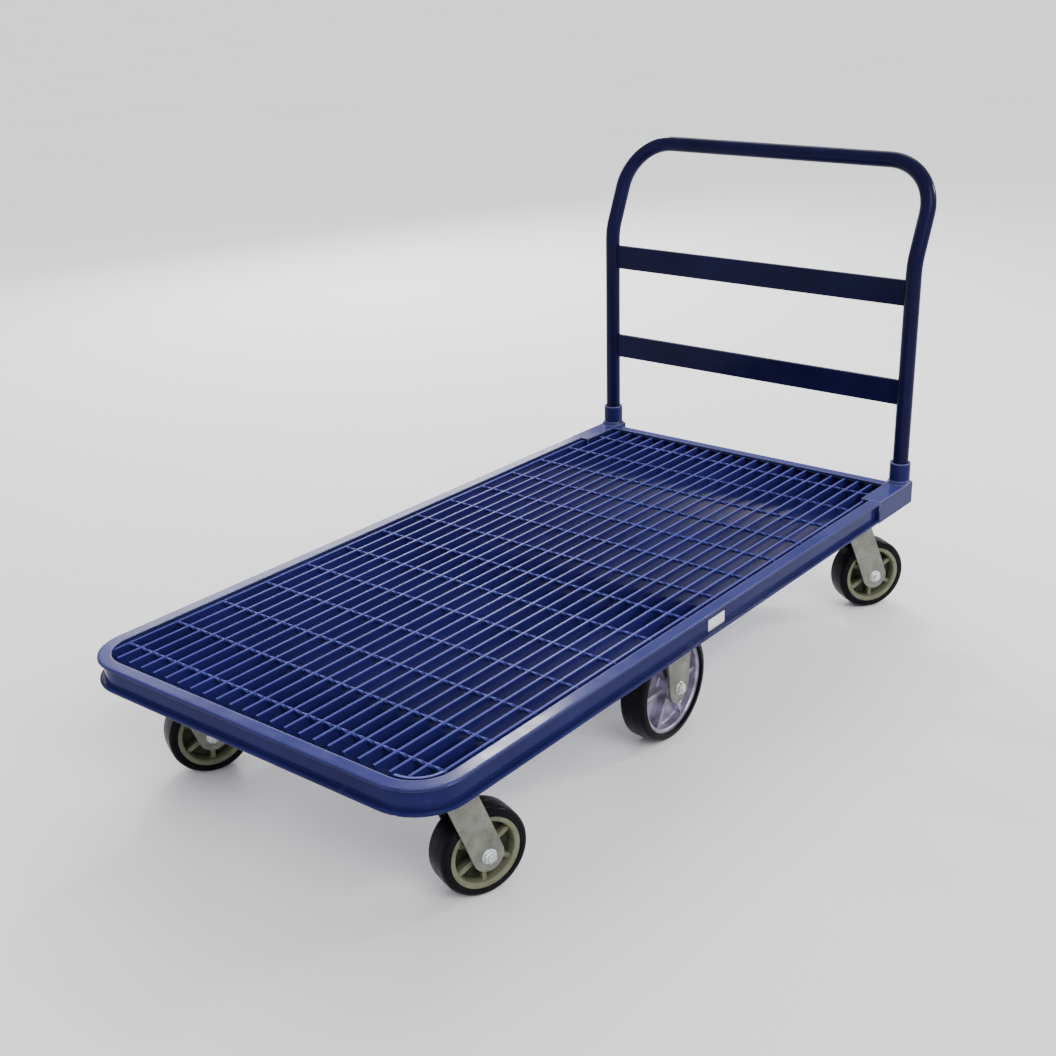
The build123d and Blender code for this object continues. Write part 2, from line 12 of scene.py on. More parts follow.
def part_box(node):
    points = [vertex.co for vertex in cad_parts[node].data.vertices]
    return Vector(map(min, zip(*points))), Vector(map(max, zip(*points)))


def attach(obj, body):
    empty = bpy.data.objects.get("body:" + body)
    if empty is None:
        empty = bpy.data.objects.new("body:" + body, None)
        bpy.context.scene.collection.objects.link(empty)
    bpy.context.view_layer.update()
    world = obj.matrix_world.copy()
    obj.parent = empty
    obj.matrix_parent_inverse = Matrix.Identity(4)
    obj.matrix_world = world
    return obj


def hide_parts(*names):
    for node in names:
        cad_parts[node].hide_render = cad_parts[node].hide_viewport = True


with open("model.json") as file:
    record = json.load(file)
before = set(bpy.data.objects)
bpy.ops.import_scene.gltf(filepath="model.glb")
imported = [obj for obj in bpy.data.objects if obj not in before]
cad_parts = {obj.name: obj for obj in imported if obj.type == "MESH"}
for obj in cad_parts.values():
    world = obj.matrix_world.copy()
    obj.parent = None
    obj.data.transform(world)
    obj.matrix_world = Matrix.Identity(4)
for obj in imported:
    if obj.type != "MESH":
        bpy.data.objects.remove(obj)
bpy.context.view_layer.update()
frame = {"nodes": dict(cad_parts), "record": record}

MM = 0.001
SLOT_OF = {part["node"]: part["material_slot"] for part in frame["record"]["subparts"]}
JOINTS = {joint["name"]: joint for joint in frame["record"]["behaviour"]["joints"]}
CORNERS = ("front_left", "front_right", "rear_left", "rear_right")
SIDES = ("left", "right")


# =========================================================================================
# Materials
# =========================================================================================

class Finish:
    """One procedural material, built up from noise in the object's own coordinates."""

    def __init__(self, name):
        self.material = bpy.data.materials.new(name)
        self.material.use_nodes = True
        self.nodes = self.material.node_tree.nodes
        self.links = self.material.node_tree.links
        self.shader = self.nodes["Principled BSDF"]
        self.coords = self.nodes.new("ShaderNodeTexCoord").outputs["Object"]

    def set(self, **values):
        """Constant values on the shader's own sockets."""
        for name, value in values.items():
            self.shader.inputs[name.replace("_", " ")].default_value = value

    def feed(self, socket, output):
        self.links.new(output, self.shader.inputs[socket])

    def noise(self, scale, detail=3.0, stretch=(1, 1, 1), distort=0.0):
        """Noise value; stretch squeezes it along an axis, as for brush marks."""
        place = self.nodes.new("ShaderNodeMapping")
        place.inputs["Scale"].default_value = stretch
        self.links.new(self.coords, place.inputs["Vector"])
        node = self.nodes.new("ShaderNodeTexNoise")
        node.inputs["Scale"].default_value = scale
        node.inputs["Detail"].default_value = detail
        node.inputs["Distortion"].default_value = distort
        self.links.new(place.outputs["Vector"], node.inputs["Vector"])
        return node.outputs["Fac"]

    def rings(self, scale):
        """Noise that depends only on the distance from the object's x axis, as on turned metal."""
        flat = self.nodes.new("ShaderNodeVectorMath")
        flat.operation = "MULTIPLY"
        flat.inputs[1].default_value = (0, 1, 1)
        self.links.new(self.coords, flat.inputs[0])
        reach = self.nodes.new("ShaderNodeVectorMath")
        reach.operation = "LENGTH"
        self.links.new(flat.outputs["Vector"], reach.inputs[0])
        node = self.nodes.new("ShaderNodeTexNoise")
        node.noise_dimensions = "1D"
        node.inputs["Scale"].default_value = scale
        node.inputs["Detail"].default_value = 4
        self.links.new(reach.outputs["Value"], node.inputs["W"])
        return node.outputs["Fac"]

    def ramp(self, value, *stops):
        """Colour or grey ramp over a value. Each stop is a position and a grey or a colour."""
        node = self.nodes.new("ShaderNodeValToRGB")
        elements = node.color_ramp.elements
        while len(elements) < len(stops):
            elements.new(0.5)
        for element, (position, shade) in zip(elements, stops):
            colour = shade if isinstance(shade, tuple) else (shade,) * 3
            element.position = position
            element.color = (*colour, 1)
        self.links.new(value, node.inputs["Fac"])
        return node.outputs["Color"]

    def maths(self, operation, a, b):
        node = self.nodes.new("ShaderNodeMath")
        node.operation = operation
        for socket, value in zip(node.inputs, (a, b)):
            if isinstance(value, (int, float)):
                socket.default_value = value
            else:
                self.links.new(value, socket)
        return node.outputs["Value"]

    def mix(self, share, a, b):
        """Colour between a socket a and a constant colour b."""
        node = self.nodes.new("ShaderNodeMix")
        node.data_type = "RGBA"
        self.links.new(share, node.inputs["Factor"])
        self.links.new(a, node.inputs["A"])
        node.inputs["B"].default_value = (*b, 1)
        return node.outputs["Result"]

    def part_of(self, vector, axis):
        """One component of a vector output."""
        node = self.nodes.new("ShaderNodeSeparateXYZ")
        self.links.new(vector, node.inputs["Vector"])
        return node.outputs[axis]

    def soft_edge(self, radius):
        """Normal that rounds the edges by radius."""
        node = self.nodes.new("ShaderNodeBevel")
        node.samples = 4
        node.inputs["Radius"].default_value = radius
        return node.outputs["Normal"]

    def edge_mask(self, soft, low, high):
        """Grey that is white on the outer edges of a piece."""
        true = self.nodes.new("ShaderNodeNewGeometry").outputs["Normal"]
        dot = self.nodes.new("ShaderNodeVectorMath")
        dot.operation = "DOT_PRODUCT"
        self.links.new(soft, dot.inputs[0])
        self.links.new(true, dot.inputs[1])
        return self.ramp(self.maths("SUBTRACT", 1, dot.outputs["Value"]), (low, 0), (high, 1))

    def bump(self, height, strength, distance, normal=None):
        node = self.nodes.new("ShaderNodeBump")
        node.inputs["Strength"].default_value = strength
        node.inputs["Distance"].default_value = distance
        self.links.new(height, node.inputs["Height"])
        if normal is not None:
            self.links.new(normal, node.inputs["Normal"])
        self.feed("Normal", node.outputs["Normal"])


def paint(name, deep, plain, lit, rough, edge=0.3, gloss=0.1, dust_and_top_light=0.0, highlight_edge_colour=None, radius=1.0 * MM):
    """Sprayed enamel: soft tone changes, orange peel and pale scuffs, paler on the load-bearing top, where
    upward faces take a painted lit tone with some dust and the edges are rubbed paler and painted as a
    highlight.
    """
    finish = Finish(name)
    soft = finish.soft_edge(radius)
    tone = finish.ramp(finish.noise(6, 3), (0.3, deep), (0.7, plain))
    # Painted light: faces turned up, from about the deck top up, are mixed toward the lit colour, as dust and
    # as light falling from above.
    normal = finish.nodes.new("ShaderNodeNewGeometry").outputs["Normal"]
    upward = finish.ramp(finish.part_of(normal, "Z"), (0.35, 0), (0.95, 1))
    high = finish.ramp(finish.part_of(finish.coords, "Z"), LIT_AND_WORN_FROM, LIT_AND_WORN_ABOVE)
    on_top = finish.maths("MULTIPLY", upward, high)
    tone = finish.mix(finish.maths("MULTIPLY", on_top, dust_and_top_light), tone, lit)
    # Painted highlight: outer edges from about the deck top up are mixed toward a pale colour, as rubbed
    # paint and as a highlight line along the rounded edge.
    wear_and_highlight = finish.maths("MULTIPLY", finish.edge_mask(soft, 0.01, 0.14), edge)
    tone = finish.mix(finish.maths("MULTIPLY", wear_and_highlight, high), tone, highlight_edge_colour or lit)
    scuff = finish.ramp(finish.noise(38, 8, (1, 0.3, 1), 0.6), (0.64, 0), (0.74, 0.06))
    tone = finish.mix(scuff, tone, lit)
    finish.feed("Base Color", tone)
    finish.feed("Roughness", finish.ramp(finish.noise(24, 4), (0.3, rough - 0.04), (0.75, rough + 0.08)))
    finish.bump(finish.noise(420, 2), 0.08, 0.2 * MM, soft)
    finish.set(Specular_IOR_Level=gloss)
    return finish.material


def zinc(name, dull, bright, rough):
    """Zinc plating: cloudy grey with a faint warm cast, drawn marks and small dark spots."""
    finish = Finish(name)
    soft = finish.soft_edge(0.8 * MM)
    tone = finish.ramp(finish.noise(45, 6), (0.3, dull), (0.7, bright))
    spots = finish.ramp(finish.noise(240, 3), (0.30, 0.5), (0.38, 0))
    tone = finish.mix(spots, tone, tuple(0.45 * c for c in dull))
    finish.feed("Base Color", tone)
    drawn = finish.noise(70, 5, (1, 1, 0.15))
    finish.feed("Roughness", finish.ramp(drawn, (0.3, rough), (0.7, rough + 0.16)))
    finish.bump(finish.noise(300, 3, (1, 1, 0.12)), 0.12, 0.2 * MM, soft)
    finish.set(Metallic=0.75)
    return finish.material


def rubber(name, dark, dusty):
    """Moulded tread: near black, a little paler where dust sits, with a fine grain."""
    finish = Finish(name)
    dust = finish.ramp(finish.noise(26, 8, distort=0.8), (0.48, dark), (0.78, dusty))
    finish.feed("Base Color", dust)
    finish.feed("Roughness", finish.ramp(finish.noise(60, 5), (0.3, 0.26), (0.7, 0.42)))
    finish.bump(finish.noise(900, 3), 0.18, 0.2 * MM)
    finish.set(Specular_IOR_Level=0.08)
    return finish.material


def cast_enamel(name, deep, plain, lit, pocket):
    """Painted casting: grainy, rubbed paler at its edges in a lit tone that also paints a highlight, with
    painted shade darkening the web between the spokes.
    """
    finish = Finish(name)
    soft = finish.soft_edge(0.9 * MM)
    tone = finish.ramp(finish.noise(60, 6), (0.3, deep), (0.7, plain))
    # Wear and painted highlight: the edges are mixed half toward the lit colour.
    wear_and_highlight = finish.maths("MULTIPLY", finish.edge_mask(soft, 0.02, 0.2), 0.5)
    tone = finish.mix(wear_and_highlight, tone, lit)
    # Painted shade: the recessed web near the hub's mid-plane, between the spokes, is darkened toward a tenth
    # of the deep tone.
    outward = finish.maths("ABSOLUTE", finish.part_of(finish.coords, "X"), 0)
    pocket_shade = finish.ramp(finish.maths("DIVIDE", outward, 4 * pocket), (0.25, 0.88), (0.95, 0))
    finish.feed("Base Color", finish.mix(pocket_shade, tone, tuple(0.10 * c for c in deep)))
    finish.feed("Roughness", finish.ramp(finish.noise(90, 4), (0.3, 0.40), (0.7, 0.58)))
    finish.bump(finish.noise(420, 4), 0.3, 0.3 * MM, soft)
    finish.set(Specular_IOR_Level=0.3)
    return finish.material


def turned_metal(name, dull, bright, rough, metallic=1.0):
    """Machined metal with fine turning rings."""
    finish = Finish(name)
    finish.feed("Base Color", finish.ramp(finish.noise(40, 5), (0.3, dull), (0.7, bright)))
    finish.feed("Roughness", finish.ramp(finish.rings(700), (0.3, rough), (0.7, rough + 0.14)))
    finish.bump(finish.rings(1500), 0.1, 0.1 * MM)
    finish.set(Metallic=metallic)
    return finish.material


def sticker(name, plain, soiled):
    """Blank thin plastic label with faint dirt."""
    finish = Finish(name)
    finish.feed("Base Color", finish.ramp(finish.noise(120, 6), (0.45, plain), (0.85, soiled)))
    finish.feed("Roughness", finish.ramp(finish.noise(80, 3), (0.3, 0.35), (0.7, 0.5)))
    finish.bump(finish.noise(160, 3), 0.08, 0.2 * MM)
    return finish.material


# Painted light and wear start only from about the deck top up: the lit tone on upward faces and the rubbed,
# highlit edges. Each pair is z in the piece's own coordinates, in metres, and the share of this painted light
# and wear there.
LIT_AND_WORN_FROM, LIT_AND_WORN_ABOVE = (0.235, 0), (0.245, 1)
# Painted light: the lavender is the lit tone painted on upward faces and edges, and the pale edge colour is a
# painted highlight on the frame's rubbed outer edges.
LIT_LAVENDER = (0.150, 0.165, 0.66)
PALE_EDGE_HIGHLIGHT = (0.50, 0.52, 0.74)
FINISHES = {
    # The frame's edges are rubbed strongly toward a pale blue-white, which paints the highlight line along
    # its rounded flange edges.
    "frame_blue": paint(
        "frame_blue_paint", (0.0105, 0.0115, 0.062), (0.0155, 0.0170, 0.092), LIT_LAVENDER, rough=0.16,
        edge=0.45, gloss=0.05, dust_and_top_light=0.14, highlight_edge_colour=PALE_EDGE_HIGHLIGHT, radius=3.0 * MM),
    "grating_blue": paint(
        "grating_blue_paint", (0.0100, 0.0095, 0.068), (0.0145, 0.0135, 0.098), LIT_LAVENDER, rough=0.28,
        edge=0.9, gloss=0.06, dust_and_top_light=0.30),
    "rod_blue": paint(
        "rod_blue_paint", (0.0075, 0.0085, 0.066), (0.0105, 0.0125, 0.092), LIT_LAVENDER, rough=0.36,
        edge=0.10, gloss=0.04, dust_and_top_light=0.26),
    "under_navy": paint(
        "under_navy_paint", (0.003, 0.004, 0.026), (0.005, 0.007, 0.040), (0.05, 0.06, 0.2), rough=0.42),
    "handle_navy": paint(
        "handle_navy_paint", (0.0048, 0.0046, 0.024), (0.0068, 0.0066, 0.038), (0.05, 0.06, 0.30), rough=0.18,
        edge=0.3, gloss=0.06),
    "zinc_plate": zinc("zinc_plating", (0.14, 0.14, 0.118), (0.235, 0.232, 0.205), 0.42),
    "bolt_zinc": zinc("bright_zinc", (0.40, 0.43, 0.43), (0.66, 0.70, 0.70), 0.18),
    "tyre_black": rubber("tyre_rubber", (0.0020, 0.0020, 0.0034), (0.0040, 0.0040, 0.0058)),
    "hub_olive": cast_enamel(
        "hub_enamel", (0.096, 0.100, 0.058), (0.160, 0.165, 0.105), (0.34, 0.35, 0.26), pocket=3.4 * MM),
    "hub_aluminium": turned_metal("hub_metal", (0.17, 0.15, 0.21), (0.44, 0.40, 0.52), 0.30, metallic=0.7),
    "bush_bronze": turned_metal("sleeve_bronze", (0.35, 0.24, 0.10), (0.55, 0.40, 0.20), 0.30),
    "ball_steel": turned_metal("ball_steel", (0.55, 0.55, 0.57), (0.75, 0.75, 0.77), 0.12),
    "label_white": sticker("label_film", (0.68, 0.70, 0.72), (0.50, 0.52, 0.55)),
}


def dress_cad_nodes():
    """Give every CAD node the finish of its material slot."""
    for node, piece in frame["nodes"].items():
        material = FINISHES[SLOT_OF[node]]
        if not piece.material_slots:
            piece.data.materials.append(material)
        for place in piece.material_slots:
            place.material = material


# =========================================================================================
# Mesh tools
# =========================================================================================

def add_piece(name, mesh, slot_name, body, nodes=(), place=Matrix.Identity(4)):
    """Put a mesh in the scene as a piece that rides on a body."""
    piece = bpy.data.objects.new(name, mesh)
    piece.matrix_world = place
    bpy.context.scene.collection.objects.link(piece)
    if not mesh.materials:
        mesh.materials.append(FINISHES[slot_name])
    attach(piece, body)
    if nodes:
        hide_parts(*nodes)


def finish_mesh(name, bm, angle=35):
    """Turn a bmesh into a smooth-shaded mesh that stays sharp past the given angle."""
    bmesh.ops.recalc_face_normals(bm, faces=bm.faces)
    mesh = bpy.data.meshes.new(name)
    bm.to_mesh(mesh)
    bm.free()
    mesh.shade_smooth()
    mesh.set_sharp_from_angle(angle=math.radians(angle))
    return mesh


def rounded(corners, parts=5, share=0.49):
    """Closed outline from (a, r, rounding) corners; a rounding takes at most a share of each side."""
    outline = []
    count = len(corners)
    for i, (a, r, rounding) in enumerate(corners):
        here = Vector((a, r))
        before = Vector(corners[i - 1][:2]) - here
        after = Vector(corners[(i + 1) % count][:2]) - here
        cut = min(rounding, share * before.length, share * after.length)
        if not cut:
            outline.append(here)
            continue
        start = here + before.normalized() * cut
        end = here + after.normalized() * cut
        for k in range(parts + 1):
            t = k / parts
            outline.append((1 - t) ** 2 * start + 2 * t * (1 - t) * here + t ** 2 * end)
    return outline


def join_rings(bm, lower, upper):
    """Faces between two closed rings of as many vertices."""
    for k in range(len(lower)):
        ahead = (k + 1) % len(lower)
        bm.faces.new((lower[k], lower[ahead], upper[ahead], upper[k]))


def lathe(bm, outline, steps):
    """Revolve a closed (a, r) outline about the x axis."""
    rings = []
    for i in range(steps):
        turn = 2 * math.pi * i / steps
        rings.append([bm.verts.new((p.x, p.y * math.cos(turn), p.y * math.sin(turn))) for p in outline])
    for i, ring in enumerate(rings):
        join_rings(bm, ring, rings[(i + 1) % steps])


def box_into(bm, low, high, edge, place=Matrix.Identity(4)):
    """Box between two corners, with its edges bevelled."""
    made = bmesh.ops.create_cube(bm, size=1.0)["verts"]
    low, high = Vector(low), Vector(high)
    size = high - low
    for vert in made:
        vert.co = place @ Vector([low[k] + (vert.co[k] + 0.5) * size[k] for k in range(3)])
    edges = list({e for vert in made for e in vert.link_edges})
    bmesh.ops.bevel(bm, geom=edges, offset=edge, segments=2, profile=0.5, affect="EDGES")


def wheel_place(joint):
    """Matrix that puts a wheel mesh, made about the x axis, on its joint's axle."""
    centre = Vector(JOINTS[joint]["pos_m"])
    along = Vector(JOINTS[joint]["axis"]).normalized()
    up = Vector((0, 0, 1))
    turn = Matrix((along, up.cross(along), up)).transposed().to_4x4()
    return Matrix.Translation(centre) @ turn


# =========================================================================================
# Grating
# =========================================================================================

BAR_PITCH = 30.1625 * MM
BAR_T = 4.8 * MM
ROD_PITCH = 101.6 * MM
ROD_HALF = 3.0 * MM
ROD_SIDES = 8
ROD_CORNER, ROD_FLAT = 1.16 * ROD_HALF, 1.02 * ROD_HALF
ROD_LENGTH_PER_TURN = 66 * MM
ROD_STEP = 4 * MM
ROD_SINK = 0.4 * MM
CAD_ROD_HALF = 3.2 * MM
BLOCK_WALL = 4 * MM
GRATE_LOW, GRATE_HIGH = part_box("deck_grating")
BAND_LOW, BAND_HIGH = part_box("grating_band_right")
BLOCK_LOW, BLOCK_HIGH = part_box("corner_block_right")
RAIL_LOW, RAIL_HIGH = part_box("rail_rear")
PLAY = 0.3 * MM
WELD_SIZE = Vector((4.4, 5.4, 3.2)) * MM
ROD_Z = GRATE_HIGH.z - ROD_SINK - ROD_HALF
FIRST_ROD_Y = BAND_HIGH.y + PLAY + CAD_ROD_HALF


def bar_centres():
    """x of each bearing bar, from the right. Known fault: the last bar is one more than the CAD has."""
    count = int((GRATE_HIGH.x - GRATE_LOW.x) / BAR_PITCH) + 1
    return [GRATE_HIGH.x - BAR_T / 2 - i * BAR_PITCH for i in range(count)]


def rod_centres():
    """y of each cross rod, from the nose."""
    count = int((RAIL_LOW.y - FIRST_ROD_Y) / ROD_PITCH) + 1
    return [FIRST_ROD_Y + i * ROD_PITCH for i in range(count)]


def rod_span(y):
    """First and last x of a cross rod, which is shorter between the corner blocks."""
    if y > BLOCK_LOW.y - 2 * ROD_HALF:
        reach = BLOCK_LOW.x - BLOCK_WALL
        return -reach, reach
    return GRATE_LOW.x, GRATE_HIGH.x


def bar_span(x):
    """First and last y of a bearing bar, clear of the bent band and the corner blocks."""
    radius = BAND_HIGH.x - BAND_LOW.x
    bend_y = BAND_LOW.y + radius
    reach = x + BAR_T / 2 - BAND_LOW.x
    inside = radius - BAR_T - PLAY
    start = GRATE_LOW.y
    if reach >= inside:
        start = bend_y + PLAY
    elif reach > 0:
        start = max(start, bend_y - math.sqrt(inside ** 2 - reach ** 2))
    end = (RAIL_LOW.y if abs(x) < BLOCK_LOW.x - BAR_T else BLOCK_LOW.y) - PLAY
    return start, end


def grating_bars():
    """Upright flat bars along the deck."""
    bm = bmesh.new()
    for x in bar_centres():
        start, end = bar_span(x)
        low = (x - BAR_T / 2, start, GRATE_LOW.z)
        high = (x + BAR_T / 2, end, GRATE_HIGH.z)
        box_into(bm, low, high, 0.7 * MM)
    return finish_mesh("grating_bars", bm, 50)


def grating_rods():
    """Round-cornered square rods twisted along their length, as in pressed and welded grating."""
    bm = bmesh.new()
    for y in rod_centres():
        x0, x1 = rod_span(y)
        count = int((x1 - x0) / ROD_STEP)
        before = None
        for i in range(count + 1):
            x = x0 + (x1 - x0) * i / count
            turn = 2 * math.pi * x / ROD_LENGTH_PER_TURN
            ring = []
            for k in range(ROD_SIDES):
                angle = turn + 2 * math.pi * k / ROD_SIDES
                reach = ROD_CORNER if k % 2 else ROD_FLAT
                ring.append(bm.verts.new((x, y + reach * math.cos(angle), ROD_Z + reach * math.sin(angle))))
            if before:
                join_rings(bm, before, ring)
            else:
                bm.faces.new(ring)
            before = ring
        bm.faces.new(list(reversed(before)))
    mesh = finish_mesh("grating_rods", bm, 50)
    mesh.materials.append(FINISHES["rod_blue"])
    return mesh


def grating_welds():
    """Small squeezed-out welds where each rod crosses a bar."""
    rng = random.Random(4)
    bm = bmesh.new()
    for y in rod_centres():
        low, high = rod_span(y)
        for x in bar_centres():
            # BAR_T of slack lets in the bar that is centred on the rods' left ends.
            if x < low - BAR_T or x > high:
                continue
            size = WELD_SIZE * rng.uniform(0.85, 1.15)
            spin = Matrix.Rotation(rng.uniform(0, 3.1), 4, "Z")
            at = Vector((x, y, GRATE_HIGH.z - 0.3 * MM - size.z))
            place = Matrix.Translation(at) @ spin @ Matrix.Diagonal((*size, 1))
            bmesh.ops.create_icosphere(bm, subdivisions=2, radius=1, matrix=place)
    return finish_mesh("grating_welds", bm, 60)


def build_grating():
    """The three pieces that stand in for the CAD panel."""
    for mesh in (grating_bars(), grating_rods(), grating_welds()):
        add_piece(mesh.name, mesh, "grating_blue", "deck", ["deck_grating"])


# =========================================================================================
# Wheels
# =========================================================================================

def tyre_mesh(name, radius, width, rim, shoulder):
    """Moulded tread with rounded shoulders, a raised band on each side and a fine seam."""
    half = width / 2
    side = [
        (-half, rim, 0.8 * MM),
        (-half, rim + 1.0 * MM, 0.1 * MM),
        (-half - 0.5 * MM, rim + 1.6 * MM, 0.1 * MM),
        (-half - 0.5 * MM, rim + 3.0 * MM, 0.1 * MM),
        (-half, rim + 3.6 * MM, 0.1 * MM),
        (-half, radius - 0.6 * MM, shoulder),
    ]
    seam_half, seam_foot = 0.9 * MM, radius - 0.25 * MM
    seam = [(-seam_half, seam_foot, 0.4 * MM), (0, radius, 0.2 * MM), (seam_half, seam_foot, 0.4 * MM)]
    other = [(-a, r, rounding) for a, r, rounding in reversed(side)]
    bm = bmesh.new()
    lathe(bm, rounded(side + seam + other, parts=7, share=0.9), steps=120)
    return finish_mesh(name, bm, 40)


SPOKE_SHARE = 0.72  # width of a spoke along the axle, as a share of the ring's


def hub_mesh(name, rim, ring_t, half, web, boss, boss_half, bore, spokes, spoke_w, first, draft):
    """Cast hub: lipped ring, dished web, stepped boss and tapered spokes."""
    inner = rim - ring_t
    side = [
        (-half, rim, 0.5 * MM),
        (-half, inner + 2.2 * MM, 1.0 * MM),
        (-half + 2.5 * MM, inner, 1.6 * MM),
        (-web, inner - draft, 5 * MM),
        (-web, boss + draft, 5 * MM),
        (-boss_half + 3.5 * MM, boss, 1.2 * MM),
        (-boss_half, boss - 2 * MM, 0.9 * MM),
        (-boss_half, bore, 0.5 * MM),
    ]
    other = [(-a, r, rounding) for a, r, rounding in reversed(side)]
    bm = bmesh.new()
    lathe(bm, rounded(side + other), steps=96)
    for i in range(spokes):
        place = Matrix.Rotation(math.radians(first + i * 360 / spokes), 4, "X")
        low = (-SPOKE_SHARE * half, boss - 2 * MM, -spoke_w / 2)
        high = (SPOKE_SHARE * half, inner + 2 * MM, spoke_w / 2)
        box_into(bm, low, high, 1.6 * MM, place)
    return finish_mesh(name, bm, 38)


def hex_into(bm, x0, x1, flats, chamfer):
    """Hexagon along x from x0 to x1, chamfered at the x1 end."""
    corner = flats / math.sqrt(3)
    grow = 1 if x1 > x0 else -1
    levels = ((x0, corner), (x1 - grow * chamfer, corner), (x1, corner - 1.5 * chamfer))
    rings = []
    for x, radius in levels:
        angles = [math.radians(30 + 60 * k) for k in range(6)]
        rings.append([bm.verts.new((x, radius * math.cos(a), radius * math.sin(a))) for a in angles])
    for lower, upper in zip(rings, rings[1:]):
        join_rings(bm, lower, upper)
    bm.faces.new(rings[0])
    bm.faces.new(rings[-1])


def axle_mesh(name, reach, low, high):
    """Axle bolt: chamfered head, washers, nut and a threaded end. The washers start at reach."""
    bolt, washer, flats, washer_t = 6.35 * MM, 12.5 * MM, 19 * MM, 2 * MM
    core, in_head, pitch = 0.2 * MM, low + 3 * MM, 1.2 * MM
    start = reach + washer_t
    turns = int((high - start) / pitch)
    outline = [(in_head, core, 0), (in_head, bolt, 0), (start, bolt, 0)]
    for k in range(turns):
        at = start + (high - start) * k / turns
        outline.append((at + 0.3 * MM, bolt, 0))
        outline.append((at + 0.9 * MM, bolt - 0.6 * MM, 0))
    outline += [(high, bolt - 0.8 * MM, 0), (high, core, 0)]
    bm = bmesh.new()
    lathe(bm, rounded(outline), steps=32)
    for side in (-1, 1):
        ring = [
            (side * reach, bolt, 0.1 * MM),
            (side * reach, washer, 0.1 * MM),
            (side * (reach + washer_t), washer, 0.5 * MM),
            (side * (reach + washer_t), bolt, 0.1 * MM),
        ]
        lathe(bm, rounded(ring, parts=3), steps=48)
    hex_into(bm, -reach - washer_t, low, flats, 0.9 * MM)
    hex_into(bm, reach + washer_t, reach + 7.5 * MM, flats, 0.9 * MM)
    return finish_mesh(name, bm, 30)


def baked(mesh, place):
    """Copy of a mesh with a place's rotation in its vertices, which keeps the box of a turned wheel tight."""
    copy = mesh.copy()
    copy.transform(place.to_3x3().to_4x4())
    return copy


def build_wheels():
    """Tyre, hub and axle bolt at each joint; hubs stay unbaked because their finish reads their own x."""
    caster_tyre = tyre_mesh(
        "caster_tyre_mesh", radius=73.5 * MM, width=49.8 * MM, rim=59 * MM, shoulder=10 * MM)
    caster_hub = hub_mesh(
        "caster_hub_mesh", rim=59 * MM, ring_t=9 * MM, half=24 * MM, web=2.5 * MM, boss=19 * MM,
        boss_half=27.8 * MM, bore=10 * MM, spokes=6, spoke_w=8 * MM, first=30, draft=1.5 * MM)
    mid_tyre = tyre_mesh("mid_tyre_mesh", radius=101.6 * MM, width=50 * MM, rim=87 * MM, shoulder=10 * MM)
    mid_hub = hub_mesh(
        "mid_hub_mesh", rim=87 * MM, ring_t=8 * MM, half=20.5 * MM, web=3 * MM, boss=24 * MM,
        boss_half=28.2 * MM, bore=10 * MM, spokes=6, spoke_w=9 * MM, first=0, draft=2 * MM)
    caster_axle = axle_mesh("caster_axle_mesh", reach=33.2 * MM, low=-40.7 * MM, high=43.7 * MM)
    mid_axle = axle_mesh("mid_axle_mesh", reach=34 * MM, low=-41.5 * MM, high=44.5 * MM)
    for name in CORNERS:
        place = wheel_place("spin_" + name)
        body = "wheel_" + name
        tyre = baked(caster_tyre, place)
        centre = Matrix.Translation(place.to_translation())
        add_piece("tyre_" + name, tyre, "tyre_black", body, ["caster_tyre_" + name], centre)
        add_piece("hub_" + name, caster_hub, "hub_olive", body, ["caster_hub_" + name], place)
        axle = baked(caster_axle, place)
        add_piece("axle_" + name, axle, "bolt_zinc", "swivel_" + name, ["caster_axle_" + name], centre)
    for name in SIDES:
        place = wheel_place("spin_mid_" + name)
        body = "mid_wheel_" + name
        add_piece("tyre_mid_" + name, mid_tyre, "tyre_black", body, ["mid_tyre_" + name], place)
        add_piece("hub_mid_" + name, mid_hub, "hub_aluminium", body, ["mid_hub_" + name], place)
        add_piece("axle_mid_" + name, mid_axle, "bolt_zinc", "deck", ["mid_axle_" + name], place)


# =========================================================================================
# Weld beads
# =========================================================================================

BEAD_SIDES = 8
BEAD_STEP = 1.6 * MM
CROSSBAR_BEAD, CROSSBAR_INSET = 2.0 * MM, 1.2 * MM
FRAME_BEAD, FRAME_SINK, FRAME_INSET = 1.3 * MM, 0.9 * MM, 1.6 * MM


def bead_into(bm, points, radius, rng):
    """Rippled weld bead along a path, thinner at its two ends."""
    last = len(points) - 1
    rings = []
    for i, point in enumerate(points):
        along = (points[min(i + 1, last)] - points[max(i - 1, 0)]).normalized()
        cross = along.orthogonal().normalized()
        other = along.cross(cross)
        taper = 1.0 if 0 < i < last else 0.35
        size = radius * taper * (0.86 + 0.14 * math.cos(i * 2.1)) * rng.uniform(0.92, 1.08)
        ring = []
        for k in range(BEAD_SIDES):
            angle = 2 * math.pi * k / BEAD_SIDES
            ring.append(bm.verts.new(point + (cross * math.cos(angle) + other * math.sin(angle)) * size))
        rings.append(ring)
    for lower, upper in zip(rings, rings[1:]):
        join_rings(bm, lower, upper)
    bm.faces.new(rings[0])
    bm.faces.new(rings[-1])


def straight(start, end):
    """Evenly spaced points from start to end."""
    start, end = Vector(start), Vector(end)
    count = max(3, int((end - start).length / BEAD_STEP))
    return [start.lerp(end, i / count) for i in range(count + 1)]


